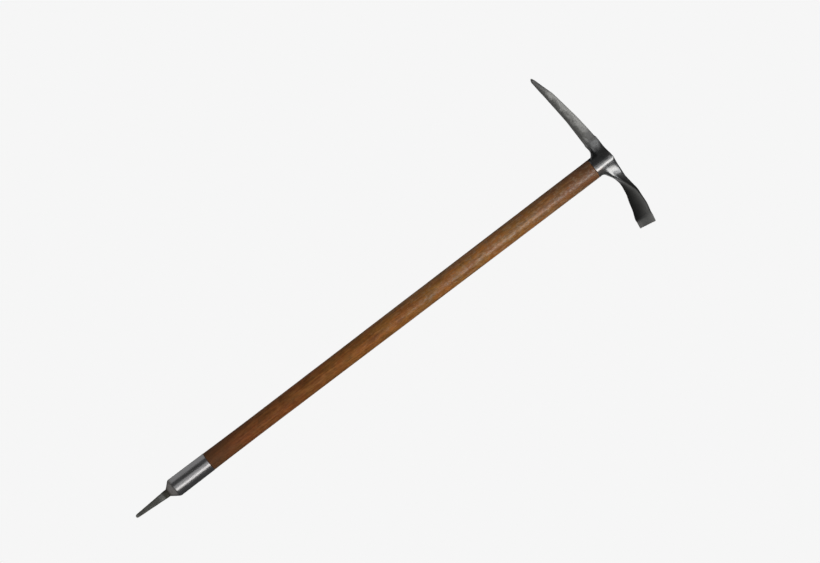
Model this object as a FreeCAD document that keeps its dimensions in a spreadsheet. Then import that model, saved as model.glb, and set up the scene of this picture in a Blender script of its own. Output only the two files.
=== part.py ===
import FreeCAD, Part
import os
import Sketcher
from FreeCAD import Vector

# Traditional wooden-shafted ice axe, in millimetres.
# Frame: +Z up the shaft, origin at the tip of the spike, pick towards -X, adze towards +X.

doc = FreeCAD.newDocument("ice_axe")
sheet = doc.addObject("Spreadsheet::Sheet", "dimensions")
sheet_values = {}


# ---------------------------------------------------------------- driving dimensions

DIMENSIONS = {
    # levels up the shaft
    "spike_root_level": 60.6,
    "ferrule_shoulder_level": 71.8,
    "ferrule_floor_level": 73.4,
    "tang_top_level": 112.0,
    "ferrule_rim_level": 137.6,
    "shaft_waist_level": 224.0,
    "shaft_grip_level": 524.0,
    "collar_rim_level": 864.0,
    "socket_floor_level": 889.0,
    "head_top_level": 898.2,
    # radii about the shaft's axis
    "tang_neck_radius": 4.5,
    "tang_end_radius": 2.4,
    "ferrule_nose_radius": 6.7,
    "ferrule_radius": 15.4,
    "ferrule_bore_radius": 13.9,
    "shaft_foot_radius": 15.0,
    "shaft_waist_radius": 14.5,
    "shaft_grip_radius": 15.3,
    "shaft_head_radius": 16.0,
    "collar_radius": 16.15,
    "socket_mouth_radius": 13.6,
    "socket_floor_radius": 12.9,
    "rim_edge": 0.3,
    # crown of the head: two shallow slopes that meet at a low ridge
    "crown_ridge_offset": 3.0,
    "crown_reach": 22.0,
    "crown_pick_drop": 2.0,
    "crown_adze_drop": 1.5,
    "crown_stock": 2.0,
    # wedge in the sawn end of the shaft
    "wedge_foot_level": 874.0,
    "wedge_thick": 3.0,
    "wedge_thin": 0.8,
    "wedge_width": 20.0,
    # rivets driven from the far side and filed flush with the steel
    "head_rivet_level": 869.5,
    "head_rivet_radius": 2.0,
    "ferrule_rivet_level": 126.0,
    "ferrule_rivet_radius": 1.6,
    "rivet_depth": 10.0,
    "rivet_stock": 30.0,
}

# Sections of the head's two arms and of the spike. Each is a bar of eight sides: full width,
# full depth, the size of its upper and of its lower corner bevels, the rise of its hollow
# lower side, the extra rise of its upper side, the level of its middle, its turn about the
# arm's own line, its lean towards the shaft and its distance along the arm.
SECTION_KEYS = ("width", "depth", "upper", "lower", "bow", "crest", "level", "turn", "lean",
                "reach")

PICK_ROOT = [
    (30.6, 25.6, 1.5, 3.0, 0, 0, 883.4, 0, 0, -2.5),
    (21.4, 30.0, 1.5, 1.8, 0, 0, 881.35, 0, 0, -12.5),
    (18.4, 22.3, 1.5, 2.8, 0, 0, 885.15, 0, 0, -20.0),
    (17.2, 21.1, 1.4, 3.5, 0, 0, 885.7, 0, 0, -28.0),
    (15.0, 21.4, 1.3, 3.3, 0, 0, 885.4, 0, 0, -36.5),
]
PICK_BLADE = [
    (14.4, 20.2, 1.2, 3.2, 0, 0, 884.8, 0, 0, -39.5),
    (11.8, 18.8, 1.1, 2.9, 0, 0, 883.9, 0, 0, -60.0),
    (11.2, 16.7, 1.0, 2.4, 0, 0, 882.7, 0, 0, -80.0),
    (10.2, 15.0, 1.0, 1.9, 0, 0, 880.4, 0, 0, -101.0),
    (9.6, 14.1, 1.0, 1.6, 0, 0, 878.9, 0, 0, -114.0),
    (8.8, 12.9, 1.0, 1.4, 0, 0, 877.2, 0, 0, -128.0),
]
PICK_POINT = [
    (6.4, 9.2, 2.2, 1.0, 0, 0, 873.6, 0, 0, -146.0),
    (4.0, 6.3, 1.6, 0.8, 0, 0, 871.0, 0, 0, -160.0),
    (1.4, 2.2, 0.4, 0.3, 0, 0, 870.6, 0, 0, -164.6),
]
ADZE_BLADE = [
    (28.4, 27.9, 1.5, 3.0, 0.05, 0, 882.7, 0, 0, 7.5),
    (22.9, 26.8, 1.5, 3.4, 0.05, 0, 883.9, 1, 0, 13.0),
    (15.8, 21.1, 1.5, 3.6, 0.1, 0, 886.0, 5, 0, 22.5),
    (13.8, 16.1, 1.3, 2.6, 0.2, 0.1, 887.7, 10, 0, 30.0),
    (15.8, 11.5, 1.0, 1.5, 0.4, 0.2, 888.6, 15, 1, 37.6),
    (20.9, 8.4, 0.7, 0.9, 0.7, 0.3, 889.4, 19, 2, 45.0),
    (28.2, 6.2, 0.5, 0.6, 1.1, 0.5, 889.45, 21, 3, 52.6),
    (36.6, 4.1, 0.4, 0.4, 1.6, 0.9, 889.4, 21.5, 4, 60.0),
    (43.8, 2.5, 0.3, 0.3, 1.9, 1.4, 888.2, 22, 5, 68.0),
    (51.2, 1.5, 0.3, 0.3, 2.3, 1.9, 886.2, 22, 6, 79.0),
    (56.4, 1.3, 0.3, 0.3, 2.5, 2.0, 883.6, 22, 7, 91.5),
    (59.2, 1.3, 0.3, 0.3, 2.5, 1.7, 880.4, 22, 8, 105.2),
]
ADZE_EDGE = [
    (58.6, 0.9, 0.2, 0.2, 2.5, 0.2, 878.5, 22, 8, 115.4),
    (56.6, 0.7, 0.2, 0.2, 2.4, 0, 878.1, 22, 8, 116.9),
]
SPIKE_BLADE = [
    (12.6, 12.6, 3.7, 3.7, 0, 0, 0, 0, 0, 60.6),
    (10.5, 10.5, 2.4, 2.4, 0, 0, 0, 0, 0, 41.0),
    (7.4, 7.4, 1.6, 1.6, 0, 0, 0, 0, 0, 17.0),
    (5.9, 5.9, 1.5, 1.5, 0, 0, 0, 0, 0, 3.6),
    (4.8, 4.8, 1.3, 1.3, 0, 0, 0, 0, 0, 1.0),
    (2.8, 2.8, 0.8, 0.8, 0, 0, 0, 0, 0, 0.0),
]
SECTION_LETTERS = "abcdefghijklmnop"


def cell(alias, value):
    """Put one driving dimension in the sheet under a plain-word alias."""
    row = len(sheet_values) + 1
    sheet.set(f"A{row}", alias)
    sheet.set(f"B{row}", str(value))
    sheet.setAlias(f"B{row}", alias)
    sheet_values[alias] = float(value)


def section_cells(arm, sections, first=0):
    """Put an arm's sections in the sheet and return the prefixes of their aliases."""
    prefixes = []
    for letter, numbers in zip(SECTION_LETTERS[first:], sections):
        prefix = f"{arm}_{letter}"
        for key, value in zip(SECTION_KEYS, numbers):
            cell(f"{prefix}_{key}", value)
        prefixes.append(prefix)
    return prefixes


for dimension_name, dimension_value in DIMENSIONS.items():
    cell(dimension_name, dimension_value)
pick_root = section_cells("pick", PICK_ROOT)
pick_blade = section_cells("pick", PICK_BLADE, len(PICK_ROOT))
pick_point = section_cells("pick", PICK_POINT, len(PICK_ROOT) + len(PICK_BLADE))
adze_blade = section_cells("adze", ADZE_BLADE)
adze_edge = section_cells("adze", ADZE_EDGE, len(ADZE_BLADE))
spike_blade = section_cells("spike", SPIKE_BLADE)
doc.recompute()


# ---------------------------------------------------------------- expressions

def d(alias):
    return f"dimensions.{alias}"


def term_value(term):
    """Number that one term, such as dimensions.a_width / 2, stands for."""
    factor, _, divisor = term.strip().replace("dimensions.", "").partition("/")
    factor = factor.strip()
    number = sheet_values[factor] if factor in sheet_values else float(factor)
    return number / float(divisor) if divisor else number


def start_value(expression):
    """Number that a sum of sheet terms stands for, used only to draw a starting shape."""
    signed = expression.replace("-", "+-").split("+")
    total = 0.0
    for term in (piece.strip() for piece in signed if piece.strip()):
        total += -term_value(term[1:]) if term.startswith("-") else term_value(term)
    return total


# ---------------------------------------------------------------- sketch helpers

def new_body(label):
    body = doc.addObject("PartDesign::Body", label)
    body.Label = label
    return body


def new_sketch(body, name, role):
    """Sketch on one of the body's own origin planes."""
    plane = next(item for item in body.Origin.OriginFeatures if item.Role == role)
    sketch = body.newObject("Sketcher::SketchObject", name)
    sketch.AttachmentSupport = [(plane, "")]
    sketch.MapMode = "FlatFace"
    sketch.Visibility = False
    return sketch


def bind(sketch, constraint, name, expression):
    """Add a driving constraint and tie its value to the sheet."""
    index = sketch.addConstraint(constraint)
    sketch.renameConstraint(index, name)
    sketch.setExpression(f"Constraints.{name}", expression)


def pin_vertex(sketch, edge, end, tag, across, up):
    """Tie one vertex to the sheet by its two distances from the sketch's origin."""
    for kind, word, expression in (("DistanceX", "across", across), ("DistanceY", "up", up)):
        constraint = Sketcher.Constraint(kind, -1, 1, edge, end, start_value(expression))
        bind(sketch, constraint, f"{tag}_{word}", expression)


def polygon(sketch, corners):
    """Closed outline of straight sides; each corner is a pair of sheet expressions."""
    points = [Vector(start_value(across), start_value(up), 0) for across, up in corners]
    count = len(points)
    for k in range(count):
        sketch.addGeometry(Part.LineSegment(points[k], points[(k + 1) % count]), False)
    for k in range(count):
        sketch.addConstraint(Sketcher.Constraint("Coincident", k, 2, (k + 1) % count, 1))
    for k, (across, up) in enumerate(corners):
        pin_vertex(sketch, k, 1, f"corner{k}", across, up)


def bar_section(body, prefix, role):
    """Eight-sided bar section, bound to the sheet; its broad sides bow where asked."""
    sketch = new_sketch(body, f"{prefix}_section", role)
    half_width = d(prefix + "_width") + " / 2"
    half_depth = d(prefix + "_depth") + " / 2"
    upper = d(prefix + "_upper")
    lower = d(prefix + "_lower")
    corners = [
        (f"-{half_width} + {lower}", f"-{half_depth}"),
        (f"{half_width} - {lower}", f"-{half_depth}"),
        (half_width, f"-{half_depth} + {lower}"),
        (half_width, f"{half_depth} - {upper}"),
        (f"{half_width} - {upper}", half_depth),
        (f"-{half_width} + {upper}", half_depth),
        (f"-{half_width}", f"{half_depth} - {upper}"),
        (f"-{half_width}", f"-{half_depth} + {lower}"),
    ]
    if sheet_values[prefix + "_bow"] == 0:
        polygon(sketch, corners)
        return sketch
    bow = d(prefix + "_bow")
    rises = {0: (bow, lower), 4: (f"{bow} + {d(prefix + '_crest')}", upper)}
    points = [Vector(start_value(across), start_value(up), 0) for across, up in corners]
    count = len(points)
    for k in range(count):
        start = points[k]
        end = points[(k + 1) % count]
        if k in rises:
            middle = (start + end) / 2 + Vector(0, start_value(rises[k][0]), 0)
            sketch.addGeometry(Part.Arc(start, middle, end), False)
        else:
            sketch.addGeometry(Part.LineSegment(start, end), False)
    # arcs are stored anticlockwise, so the lower one starts where the outline leaves it
    first = {k: 2 if k == 0 else 1 for k in range(count)}
    last = {k: 1 if k == 0 else 2 for k in range(count)}
    for k in range(count):
        after = (k + 1) % count
        sketch.addConstraint(Sketcher.Constraint("Coincident", k, last[k], after, first[after]))
    for k, (across, up) in enumerate(corners):
        pin_vertex(sketch, k, first[k], f"corner{k}", across, up)
    for k, (rise, bevel) in rises.items():
        half_chord = (points[(k + 1) % count] - points[k]).Length / 2
        height = start_value(rise)
        radius = (half_chord ** 2 + height ** 2) / (2 * height)
        formula = f"(({half_width} - {bevel})^2 + ({rise})^2) / (2 * ({rise}))"
        bind(sketch, Sketcher.Constraint("Radius", k, radius), f"bow{k}", formula)
    return sketch


def place_section(sketch, prefix):
    """Set a section across its arm: level, reach, lean and turn, all from the sheet."""
    offset = f"create(<<vector>>; 0; {d(prefix + '_level')}; {d(prefix + '_reach')})"
    lean = f"create(<<rotation>>; create(<<vector>>; 1; 0; 0); {d(prefix + '_lean')})"
    turn = f"create(<<rotation>>; create(<<vector>>; 0; 0; 1); -{d(prefix + '_turn')})"
    sketch.setExpression("AttachmentOffset", f"create(<<placement>>; {offset}; {lean} * {turn})")


# ---------------------------------------------------------------- feature helpers

def check_change(body, before, smaller, what):
    """Stop if a cut removed nothing or a join added nothing."""
    after = body.Shape.Volume
    if (after >= before) if smaller else (after <= before):
        raise RuntimeError(f"{what} left the volume at {after:.2f}")


def turned(body, name, outline, feature="PartDesign::Revolution"):
    """Revolve an outline of (radius, level) corners about the shaft's axis."""
    sketch = new_sketch(body, f"{name}_outline", "XZ_Plane")
    polygon(sketch, outline)
    turn = body.newObject(feature, name)
    turn.Profile = sketch
    turn.ReferenceAxis = (sketch, ["V_Axis"])
    turn.Angle = 360
    doc.recompute()


def bored(body, name, mouth_level, mouth_radius, floor_level, floor_radius):
    """Blind hole on the shaft's axis whose mouth and floor may differ in radius."""
    before = body.Shape.Volume
    outline = [
        ("0", mouth_level),
        (mouth_radius, mouth_level),
        (floor_radius, floor_level),
        ("0", floor_level),
    ]
    turned(body, name, outline, "PartDesign::Groove")
    check_change(body, before, True, name)


def rivet_hole(body, name, level, radius):
    """Blind cross hole, drilled from the far side (+Y) to just past the shaft's axis."""
    before = body.Shape.Volume
    sketch = new_sketch(body, f"{name}_outline", "XZ_Plane")
    depth = d("rivet_depth")
    sketch.setExpression(
        "AttachmentOffset",
        f"create(<<placement>>; create(<<vector>>; 0; 0; {depth}); create(<<rotation>>; 0; 0; 0))",
    )
    centre = Vector(0, start_value(level), 0)
    sketch.addGeometry(Part.Circle(centre, Vector(0, 0, 1), start_value(radius)), False)
    sketch.addConstraint(Sketcher.Constraint("PointOnObject", 0, 3, -2))
    rise = Sketcher.Constraint("DistanceY", -1, 1, 0, 3, start_value(level))
    bind(sketch, rise, "level", level)
    bind(sketch, Sketcher.Constraint("Radius", 0, start_value(radius)), "radius", radius)
    doc.recompute()
    hole = body.newObject("PartDesign::Pocket", name)
    hole.Profile = sketch
    hole.Type = "Length"
    hole.setExpression("Length", f"{depth} + {d('rivet_stock')}")
    doc.recompute()
    check_change(body, before, True, name)


def arm(body, name, prefixes, ruled, role="YZ_Plane", start=None):
    """Loft a bar through its sections, carrying on from an earlier last section."""
    before = body.Shape.Volume
    sections = [start] if start else []
    for prefix in prefixes:
        section = bar_section(body, prefix, role)
        place_section(section, prefix)
        sections.append(section)
    doc.recompute()
    loft = body.newObject("PartDesign::AdditiveLoft", name)
    loft.Profile = sections[0]
    loft.Sections = sections[1:]
    loft.Ruled = ruled
    doc.recompute()
    check_change(body, before, False, name)
    return sections[-1]


# ---------------------------------------------------------------- head

def crown(body):
    """Trim the top of the collar to two shallow slopes that meet at a ridge."""
    before = body.Shape.Volume
    sketch = new_sketch(body, "crown_outline", "XZ_Plane")
    reach = d("crown_reach")
    top = d("head_top_level")
    waste = f"{top} + {d('crown_stock')} + {d('crown_stock')}"
    polygon(sketch, [
        (f"-{reach}", f"{top} - {d('crown_pick_drop')}"),
        (d("crown_ridge_offset"), top),
        (reach, f"{top} - {d('crown_adze_drop')}"),
        (reach, waste),
        (f"-{reach}", waste),
    ])
    trim = body.newObject("PartDesign::Pocket", "crown")
    trim.Profile = sketch
    trim.Type = "ThroughAll"
    trim.Midplane = True
    doc.recompute()
    check_change(body, before, True, "crown")


def make_head():
    """One forging: collar, pick and twisted adze, with a tapered blind socket."""
    body = new_body("head")
    rim = d("collar_rim_level")
    radius = d("collar_radius")
    stock_top = f"{d('head_top_level')} + {d('crown_stock')}"
    turned(body, "collar", [
        ("0", rim),
        (f"{radius} - {d('rim_edge')}", rim),
        (radius, f"{rim} + {d('rim_edge')}"),
        (radius, stock_top),
        ("0", stock_top),
    ])
    root_end = arm(body, "pick_root", pick_root, False)
    blade_end = arm(body, "pick_blade", pick_blade, True, start=root_end)
    arm(body, "pick_point", pick_point, True, start=blade_end)
    blade_end = arm(body, "adze_blade", adze_blade, False)
    arm(body, "adze_edge", adze_edge, True, start=blade_end)
    crown(body)
    bored(body, "socket", rim, d("socket_mouth_radius"), d("socket_floor_level"),
          d("socket_floor_radius"))
    rivet_hole(body, "rivet_hole", d("head_rivet_level"), d("head_rivet_radius"))


# ---------------------------------------------------------------- shaft and wedge

def wedge_corners():
    """Outline of the wedge, seen along Y: thick end up, on the socket's floor."""
    thick = d("wedge_thick") + " / 2"
    thin = d("wedge_thin") + " / 2"
    return [
        (f"-{thin}", d("wedge_foot_level")),
        (thin, d("wedge_foot_level")),
        (thick, d("socket_floor_level")),
        (f"-{thick}", d("socket_floor_level")),
    ]


def wedge_feature(body, name, feature):
    """Pad or pocket of the wedge's outline, as wide as the wedge."""
    before = 0 if feature == "PartDesign::Pad" else body.Shape.Volume
    sketch = new_sketch(body, f"{name}_outline", "XZ_Plane")
    polygon(sketch, wedge_corners())
    made = body.newObject(feature, name)
    made.Profile = sketch
    made.Type = "Length"
    made.Midplane = True
    made.setExpression("Length", d("wedge_width"))
    doc.recompute()
    check_change(body, before, feature == "PartDesign::Pocket", name)


def make_shaft():
    """Turned ash shaft: a tenon at each end, a sawn kerf above and a tang hole below."""
    body = new_body("shaft")
    foot = d("ferrule_floor_level")
    turned(body, "barrel", [
        ("0", foot),
        (d("ferrule_bore_radius"), foot),
        (d("ferrule_bore_radius"), d("ferrule_rim_level")),
        (d("shaft_foot_radius"), d("ferrule_rim_level")),
        (d("shaft_waist_radius"), d("shaft_waist_level")),
        (d("shaft_grip_radius"), d("shaft_grip_level")),
        (d("shaft_head_radius"), d("collar_rim_level")),
        (d("socket_mouth_radius"), d("collar_rim_level")),
        (d("socket_floor_radius"), d("socket_floor_level")),
        ("0", d("socket_floor_level")),
    ])
    bored(body, "tang_hole", foot, d("tang_neck_radius"), d("tang_top_level"),
          d("tang_end_radius"))
    wedge_feature(body, "kerf", "PartDesign::Pocket")
    rivet_hole(body, "head_rivet_hole", d("head_rivet_level"), d("head_rivet_radius"))
    rivet_hole(body, "foot_rivet_hole", d("ferrule_rivet_level"), d("ferrule_rivet_radius"))


def make_wedge():
    """Hardwood wedge that spreads the tenon inside the socket."""
    body = new_body("head_wedge")
    wedge_feature(body, "wedge", "PartDesign::Pad")


# ---------------------------------------------------------------- ferrule and spike

def make_ferrule():
    """Turned steel cap with a conical nose and a hole for the spike's neck."""
    body = new_body("ferrule")
    radius = d("ferrule_radius")
    rim = d("ferrule_rim_level")
    turned(body, "cap", [
        (d("tang_neck_radius"), d("spike_root_level")),
        (d("ferrule_nose_radius"), d("spike_root_level")),
        (radius, d("ferrule_shoulder_level")),
        (radius, f"{rim} - {d('rim_edge')}"),
        (f"{radius} - {d('rim_edge')}", rim),
        (d("ferrule_bore_radius"), rim),
        (d("ferrule_bore_radius"), d("ferrule_floor_level")),
        (d("tang_neck_radius"), d("ferrule_floor_level")),
    ])
    rivet_hole(body, "rivet_hole", d("ferrule_rivet_level"), d("ferrule_rivet_radius"))


def make_spike():
    """Forged four-sided spike, its neck and tang driven up into the shaft."""
    body = new_body("spike")
    turned(body, "tang", [
        ("0", d("spike_root_level")),
        (d("tang_neck_radius"), d("spike_root_level")),
        (d("tang_neck_radius"), d("ferrule_floor_level")),
        (d("tang_end_radius"), d("tang_top_level")),
        ("0", d("tang_top_level")),
    ])
    arm(body, "blade", spike_blade, True, role="XY_Plane")


# ---------------------------------------------------------------- rivets

def make_rivet(label, level, radius, flush_radius):
    """Steel rivet along Y, its outer end filed to the round surface that it passes through."""
    stem = doc.addObject("Part::Cylinder", f"{label}_stem")
    stem.setExpression("Radius", radius)
    stem.setExpression("Height", f"{d('rivet_depth')} + {d('rivet_stock')}")
    stem.setExpression(
        "Placement",
        f"create(<<placement>>; create(<<vector>>; 0; -{d('rivet_depth')}; {level});"
        " create(<<rotation>>; create(<<vector>>; 1; 0; 0); -90))",
    )
    skin = doc.addObject("Part::Cylinder", f"{label}_skin")
    skin.setExpression("Radius", flush_radius)
    skin.setExpression("Height", d("rivet_stock"))
    skin.setExpression(
        "Placement",
        f"create(<<placement>>; create(<<vector>>; 0; 0; {level} - {d('rivet_stock')} / 2);"
        " create(<<rotation>>; 0; 0; 0))",
    )
    rivet = doc.addObject("Part::Common", label)
    rivet.Base = stem
    rivet.Tool = skin
    rivet.Label = label
    doc.recompute()
    return rivet


# ---------------------------------------------------------------- checks and files

def export_parts(parts):
    """Stop on any failed feature or bad shape, then write one STEP file per sub-part."""
    doc.recompute()
    for item in doc.Objects:
        faults = [state for state in item.State if state in ("Invalid", "Error")]
        if faults:
            raise RuntimeError(f"{item.Name} is {faults}")
    os.makedirs("parts", exist_ok=True)
    for item in parts:
        shape = item.Shape
        if shape.isNull() or not shape.isValid() or len(shape.Solids) != 1:
            raise RuntimeError(f"{item.Label} isn't one valid solid")
        shape.exportStep(f"parts/{item.Label}.step")
        print(item.Label, round(shape.Volume, 1), shape.BoundBox)


make_head()
make_shaft()
make_wedge()
make_ferrule()
make_spike()
bodies = [item for item in doc.Objects if item.isDerivedFrom("PartDesign::Body")]
rivets = [
    make_rivet("head_rivet", d("head_rivet_level"), d("head_rivet_radius"),
               d("collar_radius")),
    make_rivet("ferrule_rivet", d("ferrule_rivet_level"), d("ferrule_rivet_radius"),
               d("ferrule_radius")),
]
export_parts(bodies + rivets)
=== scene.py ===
import math

import bmesh
import bpy
import numpy as np
from mathutils import Matrix, Vector, noise


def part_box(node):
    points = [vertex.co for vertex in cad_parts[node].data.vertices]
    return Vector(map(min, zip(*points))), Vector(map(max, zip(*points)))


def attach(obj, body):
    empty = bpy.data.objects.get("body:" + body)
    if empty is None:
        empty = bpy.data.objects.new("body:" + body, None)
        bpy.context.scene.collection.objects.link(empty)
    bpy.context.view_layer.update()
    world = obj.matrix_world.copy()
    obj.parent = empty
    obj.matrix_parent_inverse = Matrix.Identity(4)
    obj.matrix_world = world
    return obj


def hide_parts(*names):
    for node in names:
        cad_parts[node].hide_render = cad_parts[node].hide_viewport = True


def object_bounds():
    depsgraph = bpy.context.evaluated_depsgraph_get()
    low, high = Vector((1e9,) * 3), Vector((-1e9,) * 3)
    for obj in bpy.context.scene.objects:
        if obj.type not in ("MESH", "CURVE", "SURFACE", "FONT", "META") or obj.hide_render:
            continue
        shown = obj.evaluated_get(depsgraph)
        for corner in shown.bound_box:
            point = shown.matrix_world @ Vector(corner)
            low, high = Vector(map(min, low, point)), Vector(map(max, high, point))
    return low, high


# A wooden-shafted ice axe. Lengths are in metres, in the CAD frame: the shaft runs up +Z from
# the spike's tip at the origin, the pick points to -X, the adze to +X.

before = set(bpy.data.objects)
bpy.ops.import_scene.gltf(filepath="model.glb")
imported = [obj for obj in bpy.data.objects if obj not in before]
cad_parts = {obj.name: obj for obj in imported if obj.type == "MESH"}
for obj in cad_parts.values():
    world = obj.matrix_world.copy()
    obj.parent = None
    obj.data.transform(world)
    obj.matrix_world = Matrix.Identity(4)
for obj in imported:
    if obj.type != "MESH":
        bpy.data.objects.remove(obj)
cad_low, cad_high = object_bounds()

MM = 0.001


# ---------------------------------------------------------------- places read from the frame

HEAD_LOW, HEAD_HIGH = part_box("head")
SHAFT_LOW, SHAFT_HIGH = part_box("shaft")
FERRULE_LOW, FERRULE_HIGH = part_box("ferrule")
SPIKE_LOW, SPIKE_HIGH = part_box("spike")

COLLAR_RIM = HEAD_LOW.z
FERRULE_RIM = FERRULE_HIGH.z
FERRULE_NOSE = FERRULE_LOW.z
FERRULE_RADIUS = FERRULE_HIGH.x


# ---------------------------------------------------------------- node graphs

class Graph:
    """Short names for the shader nodes that the materials use."""

    def __init__(self, name):
        self.material = bpy.data.materials.new(name)
        self.material.use_nodes = True
        self.tree = self.material.node_tree
        self.tree.nodes.clear()
        output = self.tree.nodes.new("ShaderNodeOutputMaterial")
        self.shader = self.tree.nodes.new("ShaderNodeBsdfPrincipled")
        self.tree.links.new(self.shader.outputs[0], output.inputs["Surface"])
        self.place = self.tree.nodes.new("ShaderNodeTexCoord").outputs["Object"]

    def put(self, socket, value):
        """Feed a socket from another node's output or set its value."""
        if isinstance(value, bpy.types.NodeSocket):
            self.tree.links.new(value, socket)
        elif isinstance(value, (tuple, list)) and len(value) == 3 and socket.type == "RGBA":
            socket.default_value = (*value, 1.0)
        else:
            socket.default_value = value

    def node(self, kind, inputs=(), **settings):
        made = self.tree.nodes.new("ShaderNode" + kind)
        for key, value in settings.items():
            setattr(made, key, value)
        for key, value in dict(inputs).items():
            self.put(made.inputs[key], value)
        return made

    def surface(self, **inputs):
        for key, value in inputs.items():
            self.put(self.shader.inputs[key.replace("_", " ")], value)

    def stretched(self, scale, shift=(0, 0, 0)):
        """Object coordinates in millimetres, divided by a length along each axis."""
        factors = tuple(1 / (MM * length) for length in scale)
        return self.node("Mapping", {"Vector": self.place, "Scale": factors,
                                     "Location": shift}).outputs[0]

    def noise(self, scale, detail=3.0, rough=0.55, distort=0.0, shift=(0, 0, 0)):
        """Noise whose features are about scale millimetres long on each axis."""
        return self.node("TexNoise", {
            "Vector": self.stretched(scale, shift), "Scale": 1.0, "Detail": detail,
            "Roughness": rough, "Distortion": distort,
        }).outputs[0]

    def spans(self, value, low, high, out_low=0.0, out_high=1.0, smooth=True):
        """Map a value from one span to another, held at both ends."""
        return self.node("MapRange", {
            "Value": value, "From Min": low, "From Max": high,
            "To Min": out_low, "To Max": out_high,
        }, interpolation_type="SMOOTHSTEP" if smooth else "LINEAR").outputs[0]

    def band(self, value, start, full, hold, end):
        """1 from full to hold, fading to 0 at start and at end."""
        return self.times(self.spans(value, start, full),
                          self.spans(value, hold, end, 1.0, 0.0))

    def plus(self, first, second):
        return self.node("Math", {0: first, 1: second}, operation="ADD").outputs[0]

    def times(self, first, second, clamp=False):
        return self.node("Math", {0: first, 1: second}, operation="MULTIPLY",
                         use_clamp=clamp).outputs[0]

    def mix(self, share, first, second, blend="MIX"):
        """Colour between first and second."""
        made = self.node("Mix", data_type="RGBA", blend_type=blend)
        self.put(made.inputs[0], share)
        self.put(made.inputs[6], first)
        self.put(made.inputs[7], second)
        return made.outputs[2]

    def between(self, share, first, second):
        """Number between first and second."""
        return self.node("Mix", {0: share, 2: first, 3: second}).outputs[0]

    def stain(self, tone, mask, strength, colour):
        """Lay a colour over a tone, as densely as strength where the mask is full."""
        return self.mix(self.times(mask, strength), tone, colour)

    def axis(self, letter):
        """One object coordinate, in metres."""
        return self.node("SeparateXYZ", {"Vector": self.place}).outputs[letter]

    def bump(self, height, distance, strength):
        return self.node("Bump", {"Height": height, "Distance": distance,
                                  "Strength": strength}).outputs[0]


def grey(level):
    return (level, level, level)


# ---------------------------------------------------------------- materials

# Levels between which the shaft's finish changes. Its tone from foot to grip is partly the
# wood's stain and partly painted light and shade along its length, and the pale flecks that grow
# towards the head are painted sheen.
FOOT_TO_MIDDLE = (0.20, 0.66)
MIDDLE_TO_GRIP = (0.70, 0.84)
PALE_SHEEN_FROM = (0.36, 0.72)
POLISHED_FROM = (0.34, 0.80)
VARNISHED_FROM = (0.42, 0.74)
FERRULE_GRIME = (FERRULE_RIM, FERRULE_RIM + 85 * MM)
COLLAR_GRIME = (COLLAR_RIM - 55 * MM, COLLAR_RIM)


def wood_material():
    """Stained, oiled ash: fine lengthwise fibres, pores and slow bands, with pale flecks of
    painted sheen towards the head and a tone along its length that is partly painted light and
    shade.
    """
    g = Graph("shaft_wood")
    height = g.axis("Z")
    fibre = g.noise((0.8, 0.8, 20), 4, 0.6)
    streak = g.noise((2.8, 2.8, 60), 4, 0.6, 0.3)
    pore = g.noise((0.7, 0.7, 5.0), 2, 0.5, shift=(3, 7, 1))
    blotch = g.noise((10, 10, 17), 4, 0.62, 0.6, shift=(5, 1, 8))
    hue = g.noise((12, 12, 30), 3, 0.6, 0.4, shift=(7, 2, 2))
    patchy = g.noise((3.8, 3.8, 7.0), 5, 0.72, 0.3, shift=(1, 9, 4))
    foot = (0.305, 0.107, 0.036)
    middle = (0.530, 0.215, 0.044)
    grip = (0.376, 0.148, 0.042)
    # colour of the pale flecks of painted sheen
    sheen_tone = (0.72, 0.49, 0.28)
    ferrule_grime = (0.150, 0.080, 0.042)
    collar_grime = (0.150, 0.070, 0.035)
    # tone from foot to middle to grip: partly the stain, partly painted light and shade along
    # the shaft
    tone = g.mix(g.spans(height, *FOOT_TO_MIDDLE, smooth=False), foot, middle)
    tone = g.mix(g.spans(height, *MIDDLE_TO_GRIP), tone, grip)
    tint = g.mix(g.spans(hue, 0.34, 0.66), (1.06, 0.94, 0.90), (0.97, 1.05, 1.00))
    tone = g.mix(1.0, tone, tint, "MULTIPLY")
    shade = g.plus(g.spans(streak, 0.34, 0.66, -0.17, 0.17),
                   g.spans(fibre, 0.34, 0.68, 0.13, -0.15))
    shade = g.plus(shade, g.spans(blotch, 0.34, 0.68, -0.18, 0.20))
    shade = g.plus(shade, g.spans(pore, 0.58, 0.72, 0.0, -0.18))
    tone = g.node("HueSaturation", {"Color": tone, "Value": g.plus(shade, 1.0)}).outputs[0]
    # pale flecks, more of them towards the head: painted sheen of the varnish's highlight
    pale_sheen = g.times(g.spans(patchy, 0.50, 0.63), g.spans(height, *PALE_SHEEN_FROM, 0.06, 0.48))
    tone = g.mix(pale_sheen, tone, sheen_tone)
    tone = g.mix(g.spans(height, *FERRULE_GRIME, 0.62, 0.0), tone, ferrule_grime)
    tone = g.mix(g.spans(height, *COLLAR_GRIME, 0.0, 0.44), tone, collar_grime)
    shine = g.spans(height, *POLISHED_FROM, 0.09, 0.80)
    flake = g.noise((2.2, 2.2, 4.4), 4, 0.66, 0.5, shift=(6, 4, 2))
    sheen = g.plus(g.spans(flake, 0.46, 0.58, 0.0, 0.90), g.spans(patchy, 0.46, 0.60, 0.0, 0.60))
    varnish = g.times(sheen, g.spans(height, *VARNISHED_FROM), clamp=True)
    relief = g.plus(g.times(fibre, 0.5), g.times(patchy, 0.6))
    g.surface(Base_Color=tone, Roughness=0.46, Specular_IOR_Level=shine,
              Coat_Weight=varnish, Coat_Roughness=0.24, Coat_IOR=1.85,
              Normal=g.bump(relief, 0.00016, 0.5))
    return g.material


# Places along X between which one finish of the forging gives way to the next
PICK_TO_COLLAR = (-0.050, -0.014)
COLLAR_TO_ADZE = (0.028, 0.048)
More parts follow.
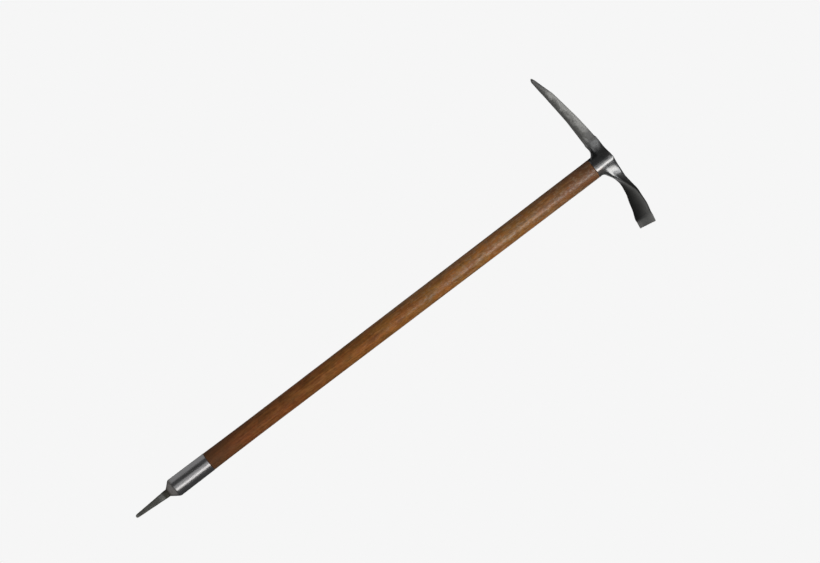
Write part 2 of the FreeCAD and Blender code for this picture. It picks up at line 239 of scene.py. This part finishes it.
# span over which the pick's point darkens towards its tip: painted shade on its tapering facets
SHADED_POINT = (HEAD_LOW.x + 12 * MM, HEAD_LOW.x + 40 * MM)
END_BEVEL = (HEAD_HIGH.x - 18.0 * MM, HEAD_HIGH.x - 9.5 * MM)
PICK_TO_MIRROR = (-0.044, -0.026)
# Painted highlights, reflections and shade along X: each starts, is full, holds and ends at
# these places
GLINT = (-0.136, -0.130, -0.126, -0.118)
# painted dark reflection on the pick's upper half near its root
DARK_REFLECTION = (-0.058, -0.046, -0.038, -0.031)
# painted highlight on the pick's root
ROOT_HIGHLIGHT = (-0.038, -0.032, -0.027, -0.022)
# painted shade in the lower corner of the pick's root
LOW_ROOT_SHADE = (-0.036, -0.028, -0.014, -0.010)
ROOT_SHADE = (-0.029, -0.017, -0.008, 0.002)
# painted warm highlight, the wood's reflection, on the collar just above its rim
RIM_HIGHLIGHT = (0.004, 0.007, 0.012, 0.016)
# Levels between which the painted highlight above the rim and the painted shade in the root's
# lower corner fade out upwards
LOW_ROOT_SHADE_TOP = (0.878, 0.882)
RIM_HIGHLIGHT_TOP = (0.871, 0.877)


def pick_tone(g, along, rise, mottle, grind):
    """Ground steel, painted brighter on its upper half as if lit from above, with painted shade
    along its lower edge and at the point and a painted glint near the point.
    """
    # mottle plus height across the pick: the upper half painted lighter, as lit from above
    patchy = g.plus(g.spans(mottle, 0.32, 0.68, -0.22, 0.20), rise)
    tone = g.mix(g.spans(patchy, 0.10, 0.80), (0.24, 0.24, 0.225), (0.92, 0.92, 0.89))
    tone = g.mix(g.spans(grind, 0.42, 0.72, 0.0, 0.35), tone, grey(0.40))
    # painted shade along the pick's lower edge, which faces down
    tone = g.stain(tone, g.band(rise, 0.10, 0.17, 0.20, 0.30), 0.55, grey(0.16))
    glint = g.times(g.band(along, *GLINT), g.spans(rise, 0.30, 0.50))
    tone = g.stain(tone, glint, 0.8, (1.0, 1.0, 0.96))
    # the point darkened: painted shade on its tapering facets
    point = g.spans(along, *SHADED_POINT, 0.70, 0.0)
    return g.mix(point, tone, grey(0.26))


def adze_tone(g, along, depth):
    """Dark steel with painted light on the near side of its hollow underside and painted shade
    towards its far side, a darker line on the near edge itself, and a bare ground bevel at its
    end.
    """
    # across the adze from its near side to its far side: painted light fading into painted
    # shade; the end bevel is bare steel
    lip = g.spans(depth, 0.02, 0.07, 0.45, 1.0)
    lit_edge_and_bevel = g.times(g.spans(depth, 0.95, 0.10, 0.04, 0.80), lip)
    lit_edge_and_bevel = g.between(g.spans(along, *END_BEVEL), lit_edge_and_bevel, 1.35)
    return g.mix(g.times(lit_edge_and_bevel, 0.6), (0.045, 0.046, 0.043), (0.82, 0.82, 0.79))


def with_junction_marks(g, tone, along, rise):
    """Painted shade, a painted dark reflection and a painted highlight where the pick flows into
    the collar, and a painted warm highlight on the collar just above its rim.
    """
    level = g.axis("Z")
    tone = g.stain(tone, g.band(along, *ROOT_SHADE), 0.45, grey(0.06))
    # painted dark reflection on the upper half of the pick near its root
    reflected_dark = g.times(g.band(along, *DARK_REFLECTION), g.spans(rise, 0.36, 0.62))
    tone = g.stain(tone, reflected_dark, 0.62, grey(0.20))
    # painted highlight on the upper part of the pick's root
    pale_sheen = g.times(g.band(along, *ROOT_HIGHLIGHT), g.spans(rise, 0.25, 0.45))
    tone = g.stain(tone, pale_sheen, 0.75, (0.93, 0.94, 0.95))
    # painted warm highlight on the collar just above its rim
    shine = g.times(g.band(along, *RIM_HIGHLIGHT), g.spans(level, *RIM_HIGHLIGHT_TOP, 1.0, 0.0))
    tone = g.stain(tone, shine, 0.9, (0.98, 0.90, 0.86))
    # painted shade in the lower corner of the pick's root
    corner_shade = g.times(g.band(along, *LOW_ROOT_SHADE), g.spans(level, *LOW_ROOT_SHADE_TOP, 1.0, 0.0))
    return g.stain(tone, corner_shade, 0.7, grey(0.04))


def head_material():
    """One forging, finished three ways: ground pick, polished collar, dark oiled adze, with
    painted light and shade over all three.
    """
    g = Graph("forged_steel")
    along = g.axis("X")
    rise = g.node("Attribute", attribute_name="rise").outputs["Fac"]
    depth = g.node("Attribute", attribute_name="depth").outputs["Fac"]
    mottle = g.noise((13, 13, 7), 5, 0.62, 0.8)
    smudge = g.noise((5.0, 5.0, 6.0), 3, 0.55, 0.4, shift=(2, 6, 3))
    grind = g.noise((0.8, 6.0, 11), 3, 0.6)
    scratch = g.noise((0.4, 3.0, 9.0), 2, 0.5, shift=(9, 2, 5))
    on_pick = g.spans(along, *PICK_TO_COLLAR, 1.0, 0.0)
    on_adze = g.spans(along, *COLLAR_TO_ADZE)
    collar_tone = g.mix(g.spans(smudge, 0.3, 0.7), (0.48, 0.49, 0.50), (0.62, 0.62, 0.62))
    tone = g.mix(on_pick, collar_tone, pick_tone(g, along, rise, mottle, grind))
    tone = g.mix(on_adze, tone, adze_tone(g, along, depth))
    tone = with_junction_marks(g, tone, along, rise)
    ground = g.plus(mottle, g.times(grind, 0.6))
    rough_pick = g.spans(ground, 0.5, 1.1, 0.46, 0.36)
    rough_collar = g.spans(smudge, 0.3, 0.7, 0.19, 0.26)
    rough_adze = g.spans(smudge, 0.3, 0.7, 0.34, 0.42)
    rough = g.between(on_adze, g.between(on_pick, rough_collar, rough_pick), rough_adze)
    # grinding lines stand out on the pick, less on the adze, and not on the collar
    marks = g.plus(grind, g.times(scratch, 0.6))
    marks = g.times(marks, g.plus(on_pick, g.times(on_adze, 0.5)))
    marks = g.plus(marks, g.times(smudge, 0.6))
    metallic = g.spans(along, *PICK_TO_MIRROR, 0.55, 1.0)
    g.surface(Base_Color=tone, Metallic=metallic, Roughness=rough,
              Normal=g.bump(marks, 0.00010, 0.5))
    return g.material


def ferrule_material():
    """Turned and polished steel, duller and browner on its nose."""
    g = Graph("ferrule_steel")
    height = g.axis("Z")
    smudge = g.noise((7, 7, 15), 4, 0.6, 0.6)
    lines = g.noise((8, 8, 0.9), 2, 0.5)
    stain = g.noise((3, 3, 4), 5, 0.7, 0.5, shift=(8, 3, 1))
    nose = g.spans(height, FERRULE_NOSE + 0.0100, FERRULE_NOSE + 0.0150, 1.0, 0.0)
    neck = g.spans(height, FERRULE_NOSE + 0.0005, FERRULE_NOSE + 0.0050, 1.0, 0.0)
    tone = g.mix(g.spans(smudge, 0.3, 0.7), (0.53, 0.525, 0.53), (0.62, 0.615, 0.63))
    patchy = g.mix(g.spans(stain, 0.35, 0.65), (0.38, 0.355, 0.34), (0.27, 0.245, 0.23))
    tone = g.stain(tone, nose, 0.9, patchy)
    tone = g.stain(tone, neck, 0.85, (0.10, 0.08, 0.062))
    rough = g.between(nose, g.spans(smudge, 0.3, 0.7, 0.26, 0.32), 0.42)
    relief = g.plus(g.times(lines, 0.15), smudge)
    g.surface(Base_Color=tone, Metallic=1.0, Roughness=rough,
              Normal=g.bump(relief, 0.00008, 0.4))
    return g.material


def spike_material():
    """Forged steel left dull: olive grey, mottled, darker where it meets the ferrule."""
    g = Graph("spike_steel")
    height = g.axis("Z")
    mottle = g.noise((4, 4, 6), 5, 0.68, 0.6)
    pits = g.noise((1.2, 1.2, 1.6), 3, 0.6, shift=(3, 3, 7))
    tone = g.mix(g.spans(mottle, 0.36, 0.66), (0.125, 0.125, 0.112), (0.205, 0.204, 0.188))
    bright = g.band(height, FERRULE_NOSE - 0.017, FERRULE_NOSE - 0.013,
                    FERRULE_NOSE - 0.010, FERRULE_NOSE - 0.007)
    tone = g.stain(tone, bright, 0.6, (0.34, 0.34, 0.32))
    root = g.spans(height, FERRULE_NOSE - 0.0090, FERRULE_NOSE - 0.0050)
    tone = g.stain(tone, root, 0.85, (0.060, 0.056, 0.040))
    tip = g.spans(height, 0.002, 0.006, 0.6, 0.0)
    tone = g.mix(tip, tone, (0.36, 0.36, 0.34))
    tone = g.mix(g.spans(pits, 0.58, 0.72, 0.0, 0.35), tone, (0.08, 0.075, 0.062))
    rough = g.spans(mottle, 0.3, 0.7, 0.62, 0.50)
    g.surface(Base_Color=tone, Metallic=0.30, Roughness=rough,
              Normal=g.bump(g.plus(pits, mottle), 0.00025, 0.6))
    return g.material


def rivet_material():
    """Filed flush, with fine scratches."""
    g = Graph("rivet_steel")
    scratch = g.noise((0.3, 2.0, 2.0), 3, 0.6)
    tone = g.mix(g.spans(scratch, 0.35, 0.7), grey(0.34), grey(0.55))
    g.surface(Base_Color=tone, Metallic=1.0, Roughness=0.38, Normal=g.bump(scratch, 0.0001, 0.5))
    return g.material


def wedge_material():
    """Bare hardwood with fine lengthwise fibres."""
    g = Graph("wedge_wood")
    fibre = g.noise((0.6, 0.6, 12), 4, 0.6)
    tone = g.mix(g.spans(fibre, 0.35, 0.7), (0.20, 0.11, 0.05), (0.36, 0.22, 0.11))
    g.surface(Base_Color=tone, Roughness=0.7, Normal=g.bump(fibre, 0.0002, 0.5))
    return g.material


# ---------------------------------------------------------------- mesh helpers

def new_object(name, mesh, material):
    """Link a mesh as a smooth piece of the object that rides on the root body."""
    piece = bpy.data.objects.new(name, mesh)
    bpy.context.scene.collection.objects.link(piece)
    mesh.materials.append(material)
    for face in mesh.polygons:
        face.use_smooth = True
    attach(piece, "root")
    return piece


def rings_to_mesh(name, rings, looped=False):
    """Closed skin through rings of equal length: capped at both ends, or looped back to the
    first ring, as round a tube's wall."""
    made = bmesh.new()
    rows = [[made.verts.new(point) for point in ring] for ring in rings]
    count = len(rows[0])
    next_rows = rows[1:] + rows[:1] if looped else rows[1:]
    for low, high in zip(rows, next_rows):
        for k in range(count):
            after = (k + 1) % count
            made.faces.new((low[k], low[after], high[after], high[k]))
    if not looped:
        for row in (rows[0], rows[-1]):
            centre = made.verts.new(sum((v.co for v in row), Vector()) / count)
            for k in range(count):
                made.faces.new((row[k], row[(k + 1) % count], centre))
    bmesh.ops.recalc_face_normals(made, faces=made.faces)
    mesh = bpy.data.meshes.new(name)
    made.to_mesh(mesh)
    made.free()
    return mesh


def subdivided(points, spacing):
    """Points along a polyline, no further apart than spacing."""
    out = [points[0]]
    for start, end in zip(points, points[1:]):
        length = math.dist(start, end)
        count = max(1, math.ceil(length / spacing))
        for k in range(1, count + 1):
            share = k / count
            out.append((start[0] + (end[0] - start[0]) * share,
                        start[1] + (end[1] - start[1]) * share))
    return out


ARC_STEPS = 5
LONGEST_TRIM = 0.45


def rounded(points, radii):
    """Profile whose inner corners become curves that touch both sides, trimmed by the radii."""
    out = [points[0]]
    for before, corner, after, radius in zip(points, points[1:], points[2:], radii):
        corner = Vector(corner)
        back = Vector(before) - corner
        ahead = Vector(after) - corner
        trim = min(radius, back.length * LONGEST_TRIM, ahead.length * LONGEST_TRIM)
        first = corner + back.normalized() * trim
        last = corner + ahead.normalized() * trim
        for k in range(ARC_STEPS + 1):
            share = k / ARC_STEPS
            bend = (first * (1 - share) ** 2 + corner * 2 * share * (1 - share)
                    + last * share ** 2)
            out.append((bend.x, bend.y))
    out.append(points[-1])
    return out


def lathe(profile, segments, wobble=None):
    """Rings round the shaft's axis for a profile of (radius, level) points."""
    rings = []
    for radius, level in profile:
        ring = []
        for k in range(segments):
            turn = 2 * math.pi * k / segments
            here = radius + (wobble(turn, level) if wobble else 0.0)
            ring.append((here * math.cos(turn), here * math.sin(turn), level))
        rings.append(ring)
    return rings


# ---------------------------------------------------------------- shaft

SHAFT_SEGMENTS = 128
SHAFT_STEPS = 360
SCRAPE_DEPTH = 0.00009
# How often the scraped surface changes: round the shaft, and for each metre along it
SCRAPE_ROUND = 2.2
SCRAPE_ALONG = 28
TENON_FOOT_RADIUS = 13.9 * MM
TENON_HEAD_RADIUS = 12.9 * MM
TENON_MOUTH_RADIUS = 13.6 * MM
# (level, radius) in metres, slim at the waist above the ferrule, fuller towards the head
BARREL = [(0.1376, 0.0150), (0.170, 0.01475), (0.224, 0.0145), (0.374, 0.01485),
          (0.524, 0.0153), (0.700, 0.01562), (0.864, 0.0160)]


def barrel_radius(level):
    """Radius of the bare wood between two stations, half eased and half straight."""
    for (low, r_low), (high, r_high) in zip(BARREL, BARREL[1:]):
        if level <= high:
            share = (level - low) / (high - low)
            eased = share * share * (3 - 2 * share)
            return r_low + (r_high - r_low) * (eased + share) / 2
    return BARREL[-1][1]


def hand_scraped(turn, level):
    """Shallow flats and waves that a spokeshave leaves."""
    spot = Vector((math.cos(turn) * SCRAPE_ROUND, math.sin(turn) * SCRAPE_ROUND,
                   level * SCRAPE_ALONG))
    return SCRAPE_DEPTH * noise.noise(spot)


def build_shaft(material):
    """Bare wood between the ferrule and the collar, and the tenons inside them."""
    profile = [(TENON_FOOT_RADIUS, SHAFT_LOW.z), (TENON_FOOT_RADIUS, FERRULE_RIM)]
    levels = [FERRULE_RIM + (COLLAR_RIM - FERRULE_RIM) * k / SHAFT_STEPS
              for k in range(SHAFT_STEPS + 1)]
    profile += [(barrel_radius(level), level) for level in levels]
    profile += [(TENON_MOUTH_RADIUS, COLLAR_RIM), (TENON_HEAD_RADIUS, SHAFT_HIGH.z)]
    mesh = rings_to_mesh("shaft_wood", lathe(profile, SHAFT_SEGMENTS, hand_scraped))
    piece = new_object("shaft_wood", mesh, material)
    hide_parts("shaft")


# ---------------------------------------------------------------- ferrule

FERRULE_BORE_RADIUS = 13.9 * MM
NECK_RADIUS = 4.5 * MM
NOSE_RADIUS = 6.7 * MM
SHOULDER_LEVEL = 0.0718
FERRULE_FLOOR = 0.0734
CAP_TAPER = 0.2 * MM
SHOULDER_LEAN = 0.11
SHOULDER_FADE = 20 * MM
# One for each corner of the outline between its two ends, from the nose's bore to the cap's
CORNER_RADII = [0.2 * MM, 0.4 * MM, 2.2 * MM, 0.5 * MM, 0.3 * MM]
PROFILE_SPACING = 2.0 * MM


def shoulder_lean(level):
    """Rise per length across the cap: its shoulder was hammered a little out of square."""
    below = min(1.0, max(0.0, (level - FERRULE_NOSE) / (SHOULDER_LEVEL - FERRULE_NOSE)))
    above = min(1.0, max(0.0, (level - SHOULDER_LEVEL) / SHOULDER_FADE))
    return SHOULDER_LEAN * below * (1 - above)


def build_ferrule(material):
    """Tapered cap with a conical nose, open at its rim."""
    outline = [
        (NECK_RADIUS, FERRULE_FLOOR),
        (NECK_RADIUS, FERRULE_NOSE),
        (NOSE_RADIUS, FERRULE_NOSE),
        (FERRULE_RADIUS + CAP_TAPER, SHOULDER_LEVEL),
        (FERRULE_RADIUS - CAP_TAPER, FERRULE_RIM),
        (FERRULE_BORE_RADIUS, FERRULE_RIM),
        (FERRULE_BORE_RADIUS, FERRULE_FLOOR),
    ]
    profile = subdivided(rounded(outline, CORNER_RADII), PROFILE_SPACING)
    rings = lathe(profile, SHAFT_SEGMENTS)
    rings = [[(x, y, level + x * shoulder_lean(level)) for x, y, level in ring]
             for ring in rings]
    mesh = rings_to_mesh("ferrule_cap", rings, looped=True)
    piece = new_object("ferrule_cap", mesh, material)
    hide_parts("ferrule")


# ---------------------------------------------------------------- spike

SPIKE_SEGMENTS = 96
SPIKE_SPACING = 0.6 * MM
# The hammer's marks: their depth as a share of the half width, and how often they change
HAMMER_DEPTH = 0.028
HAMMER_ROUND = 1.3
HAMMER_ALONG = 130
# (level, half width, squareness), the first two in metres: a rounded point, a square shank, and
# nearly round at the root
SPIKE_STATIONS = [
    (0.0000, 0.0011, 0.2), (0.0004, 0.0018, 0.3), (0.0012, 0.0024, 0.4), (0.0026, 0.0028, 0.5),
    (0.0056, 0.00305, 0.6), (0.010, 0.0033, 0.7), (0.025, 0.00415, 0.75), (0.043, 0.0053, 0.7),
    (0.0535, 0.00600, 0.45), (0.0606, 0.0063, 0.2),
]
TANG_TOP_RADIUS = 2.4 * MM


def spike_ring(level, half, square):
    """Ring between a circle and a square with soft corners, a little uneven from the hammer."""
    power = 2 + 5 * square
    ring = []
    for k in range(SPIKE_SEGMENTS):
        turn = 2 * math.pi * k / SPIKE_SEGMENTS
        x = math.cos(turn)
        y = math.sin(turn)
        radius = half / (abs(x) ** power + abs(y) ** power) ** (1 / power)
        spot = Vector((x * HAMMER_ROUND, y * HAMMER_ROUND, level * HAMMER_ALONG))
        radius += half * HAMMER_DEPTH * noise.noise(spot)
        ring.append((radius * x, radius * y, level))
    return ring


def build_spike(material):
    """The forged point below the ferrule's nose and the round tang above it."""
    rings = []
    for start, end in zip(SPIKE_STATIONS, SPIKE_STATIONS[1:]):
        count = max(1, math.ceil((end[0] - start[0]) / SPIKE_SPACING))
        for k in range(count):
            share = k / count
            rings.append(spike_ring(*(a + (b - a) * share for a, b in zip(start, end))))
    rings.append(spike_ring(*SPIKE_STATIONS[-1]))
    tang = [(NECK_RADIUS, SPIKE_STATIONS[-1][0]), (NECK_RADIUS, FERRULE_FLOOR),
            (TANG_TOP_RADIUS, SPIKE_HIGH.z)]
    rings += lathe(tang, SPIKE_SEGMENTS)
    piece = new_object("spike_iron", rings_to_mesh("spike_iron", rings), material)
    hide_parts("spike")


# ---------------------------------------------------------------- head

SKIN_SPACING = 0.50 * MM
EASE_ROUNDS = 7
BLEND_ROUNDS = 160
EASE_STRENGTH = 0.5
BLEND_STRENGTH = 0.6
SPAN_WIDTH = 1.0 * MM
# Creases soften by CORE_SHARE at the shaft's axis, fully past CORE_REACH, and less and less
# along the arms and towards the collar's rim
CORE_SHARE = 0.20
CORE_REACH = (4 * MM, 9 * MM)
ADZE_FADE = (26 * MM, 38 * MM)
PICK_FADE = (18 * MM, 30 * MM)
RIM_FADE = (COLLAR_RIM + 1.5 * MM, COLLAR_RIM + 9 * MM)
# The lower corner of the pick's root, up to these levels, stays crisp
ROOT_CORNER = (11 * MM, 14 * MM)
ROOT_CORNER_TOP = (0.872, 0.880)


def even_skin(node, spacing):
    """New mesh of even small faces over a CAD node, which itself stays as packed."""
    source = bpy.data.objects.new("skin_source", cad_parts[node].data.copy())
    bpy.context.scene.collection.objects.link(source)
    cover = source.modifiers.new("cover", "REMESH")
    cover.mode = "VOXEL"
    cover.voxel_size = spacing
    bpy.context.view_layer.update()
    graph = bpy.context.evaluated_depsgraph_get()
    mesh = bpy.data.meshes.new_from_object(source.evaluated_get(graph))
    bpy.data.objects.remove(source)
    return mesh


def ramp(values, low, high):
    """Smooth rise from 0 at low to 1 at high."""
    share = np.clip((values - low) / (high - low), 0, 1)
    return share * share * (3 - 2 * share)


def relax(points, edges, strength, rounds):
    """Draw each point towards the middle of its neighbours by its own strength."""
    count = np.bincount(edges.ravel(), minlength=len(points))[:, None]
    ends = np.concatenate((edges[:, 0], edges[:, 1]))
    others = np.concatenate((edges[:, 1], edges[:, 0]))
    for _ in range(rounds):
        total = np.stack([np.bincount(ends, weights=points[others, k], minlength=len(points))
                          for k in range(3)], axis=1)
        points = points + strength[:, None] * (total / count - points)
    return points


def blend(points, edges, strength, rounds):
    """Soften creases, then give back what the broad shape lost, so that nothing gets thinner."""
    soft = relax(points, edges, strength, rounds)
    return soft + relax(points - soft, edges, strength, rounds)


def span_at(keys, values, width):
    """Lowest and highest value near each point, from bins of width along keys."""
    bins = np.floor((keys - keys.min()) / width).astype(int)
    lows = np.full(bins.max() + 1, np.inf)
    highs = np.full(bins.max() + 1, -np.inf)
    np.minimum.at(lows, bins, values)
    np.maximum.at(highs, bins, values)
    centres = keys.min() + (np.arange(len(lows)) + 0.5) * width
    return np.interp(keys, centres, lows), np.interp(keys, centres, highs)


def store(mesh, name, values):
    """Keep one number for each vertex, for a material to read."""
    layer = mesh.attributes.new(name, "FLOAT", "POINT")
    layer.data.foreach_set("value", np.ascontiguousarray(values, dtype=np.float32))


def read_mesh(mesh):
    """Its points and its edges, as rows of coordinates and of point numbers."""
    points = np.empty(len(mesh.vertices) * 3)
    mesh.vertices.foreach_get("co", points)
    edges = np.empty(len(mesh.edges) * 2, dtype=np.int32)
    mesh.edges.foreach_get("vertices", edges)
    return points.reshape(-1, 3), edges.reshape(-1, 2)


def flow_at(points):
    """How far each point takes part in softening the creases, from 0 to 1."""
    along, level = points[:, 0], points[:, 2]
    flow = CORE_SHARE + (1 - CORE_SHARE) * ramp(np.abs(along), *CORE_REACH)
    flow *= 1 - ramp(along, *ADZE_FADE)
    flow *= 1 - ramp(-along, *PICK_FADE)
    flow *= ramp(level, *RIM_FADE)
    flow *= 1 - ramp(-along, *ROOT_CORNER) * (1 - ramp(level, *ROOT_CORNER_TOP))
    return flow


def build_head(material):
    """The forging's skin: crisp rim and edges, arms that flow out of the collar."""
    mesh = even_skin("head", SKIN_SPACING)
    points, edges = read_mesh(mesh)
    points = relax(points, edges, np.full(len(points), EASE_STRENGTH), EASE_ROUNDS)
    points = blend(points, edges, BLEND_STRENGTH * flow_at(points), BLEND_ROUNDS)
    mesh.vertices.foreach_set("co", points.ravel())
    mesh.update()
    along, across, level = points.T
    low, high = span_at(along, level, SPAN_WIDTH)
    store(mesh, "rise", (level - low) / (high - low))
    near, far = span_at(along, across, SPAN_WIDTH)
    store(mesh, "depth", (across - near) / (far - near))
    mesh.materials.clear()
    piece = new_object("head_forging", mesh, material)
    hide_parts("head")


def repaint(node, material):
    """Give a CAD node that is kept as it is its material."""
    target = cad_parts[node]
    target.data.materials.clear()
    target.data.materials.append(material)


# ---------------------------------------------------------------- stage

BACKDROP = 0.922
ROOM_GLOW = 0.056
FLOOR_HALF = 60.0
FLOOR_GAP = 0.0002


def build_floor():
    """Plain pale floor, as bright as the surround, too evenly lit to hold a shadow."""
    mesh = bpy.data.meshes.new("floor")
    level = cad_low.z - FLOOR_GAP
    corners = [(x * FLOOR_HALF, y * FLOOR_HALF, level)
               for x, y in ((-1, -1), (1, -1), (1, 1), (-1, 1))]
    mesh.from_pydata(corners, [], [(0, 1, 2, 3)])
    floor = bpy.data.objects.new("floor", mesh)
    bpy.context.scene.collection.objects.link(floor)
    material = bpy.data.materials.new("floor_paper")
    material.use_nodes = True
    tree = material.node_tree
    tree.nodes.clear()
    output = tree.nodes.new("ShaderNodeOutputMaterial")
    glow = tree.nodes.new("ShaderNodeEmission")
    glow.inputs["Color"].default_value = (BACKDROP, BACKDROP, BACKDROP, 1)
    tree.links.new(glow.outputs[0], output.inputs["Surface"])
    mesh.materials.append(material)
    floor.visible_glossy = False
    floor.visible_diffuse = False
    floor.visible_shadow = False


def build_world():
    """Pale surround for the camera, a dim room for what the steel reflects."""
    world = bpy.data.worlds.new("studio")
    bpy.context.scene.world = world
    world.use_nodes = True
    tree = world.node_tree
    tree.nodes.clear()
    output = tree.nodes.new("ShaderNodeOutputWorld")
    paper = tree.nodes.new("ShaderNodeBackground")
    paper.inputs["Color"].default_value = (BACKDROP, BACKDROP, BACKDROP, 1)
    room = tree.nodes.new("ShaderNodeBackground")
    room.inputs["Color"].default_value = (ROOM_GLOW, ROOM_GLOW, ROOM_GLOW, 1)
    path = tree.nodes.new("ShaderNodeLightPath")
    choose = tree.nodes.new("ShaderNodeMixShader")
    tree.links.new(path.outputs["Is Camera Ray"], choose.inputs[0])
    tree.links.new(room.outputs[0], choose.inputs[1])
    tree.links.new(paper.outputs[0], choose.inputs[2])
    tree.links.new(choose.outputs[0], output.inputs["Surface"])


def panel(name, place, target, width, height, radiance, colour=(1, 1, 1), mirrored=True,
          lean=0.0):
    """Rectangular soft light aimed at a target. Radiance is how bright its face looks, and
    lean turns its top towards the adze, in degrees."""
    data = bpy.data.lights.new(name, "AREA")
    data.shape = "RECTANGLE"
    data.size = width
    data.size_y = height
    data.energy = radiance * math.pi * width * height
    data.color = colour
    lamp = bpy.data.objects.new(name, data)
    bpy.context.scene.collection.objects.link(lamp)
    lamp.visible_camera = False
    lamp.visible_glossy = mirrored
    away = Vector(place) - Vector(target)
    facing = away.to_track_quat("Z", "Y").to_matrix().to_4x4()
    roll = Matrix.Rotation(-math.radians(lean), 4, "Z")
    lamp.matrix_world = Matrix.Translation(place) @ facing @ roll


def around(azimuth, distance, level):
    """Place round the shaft: azimuth 0 is the viewer's side, 90 the adze's."""
    turn = math.radians(azimuth)
    return Vector((math.sin(turn) * distance, -math.cos(turn) * distance, level))


MIDDLE = (0, 0, 0.5)
HEAD = (0, 0, 0.88)
FOOT = (0, 0, 0.03)


def build_lights():
    """Panels that the steel mirrors and, where mirrored is False, panels that only fill."""
    panel("key", around(34.8, 2.4, 0.5), MIDDLE, 0.98, 2.2, 1.55, (1.0, 0.98, 0.955), lean=10)
    panel("front", around(5, 3.2, 0.1), MIDDLE, 2.3, 1.8, 0.40)
    panel("front_high", around(16, 3.2, 1.5), HEAD, 1.0, 1.0, 0.40)
    panel("brow", around(30, 2.4, 2.3), HEAD, 1.6, 1.2, 1.00)
    panel("foot_card", around(-107, 1.4, -0.03), FOOT, 2.6, 1.2, 0.235)
    panel("sky", around(48, 1.9, 2.5), MIDDLE, 2.6, 1.5, 1.45, (1.0, 0.985, 0.96),
          mirrored=False)
    panel("sky_left", around(-70, 2.0, 2.4), MIDDLE, 1.6, 1.2, 0.22, mirrored=False)
    panel("low_left", around(-75, 1.5, -0.25), (0, 0, 0.2), 1.0, 0.8, 0.28, mirrored=False)
    panel("back", around(170, 2.6, 1.6), MIDDLE, 2.0, 1.4, 0.75)
    panel("back_low", around(180, 1.1, 0.32), (0, 0, 0.8), 1.4, 0.5, 0.22)
    panel("floor_bounce", (0, 0, -0.35), (0, 0, 0.1), 0.9, 0.9, 0.30)


# ---------------------------------------------------------------- camera

CAMERA_DISTANCE = 4.430
PICTURE_WIDTH = 1.2328
AIM = Vector((-0.03232, 0.0, 0.54184))
SHAFT_SLOPE = math.radians(37.285)
SENSOR_WIDTH = 36
CLIP_END = 200


def build_camera():
    """Long lens square to the pick's plane, rolled so that the shaft climbs to the right."""
    data = bpy.data.cameras.new("camera")
    data.sensor_width = SENSOR_WIDTH
    data.lens = SENSOR_WIDTH * CAMERA_DISTANCE / PICTURE_WIDTH
    data.clip_end = CLIP_END
    camera = bpy.data.objects.new("camera", data)
    bpy.context.scene.collection.objects.link(camera)
    right = Vector((math.sin(SHAFT_SLOPE), 0, math.cos(SHAFT_SLOPE)))
    up = Vector((-math.cos(SHAFT_SLOPE), 0, math.sin(SHAFT_SLOPE)))
    back = right.cross(up)
    turn = Matrix((right, up, back)).transposed().to_4x4()
    camera.matrix_world = Matrix.Translation(AIM + back * CAMERA_DISTANCE) @ turn
    bpy.context.scene.camera = camera


# ---------------------------------------------------------------- scene

steel_rivets = rivet_material()
build_shaft(wood_material())
build_ferrule(ferrule_material())
build_spike(spike_material())
build_head(head_material())
repaint("head_rivet", steel_rivets)
repaint("ferrule_rivet", steel_rivets)
repaint("head_wedge", wedge_material())
build_floor()
build_world()
build_lights()
build_camera()
bpy.context.scene.view_settings.view_transform = "Standard"
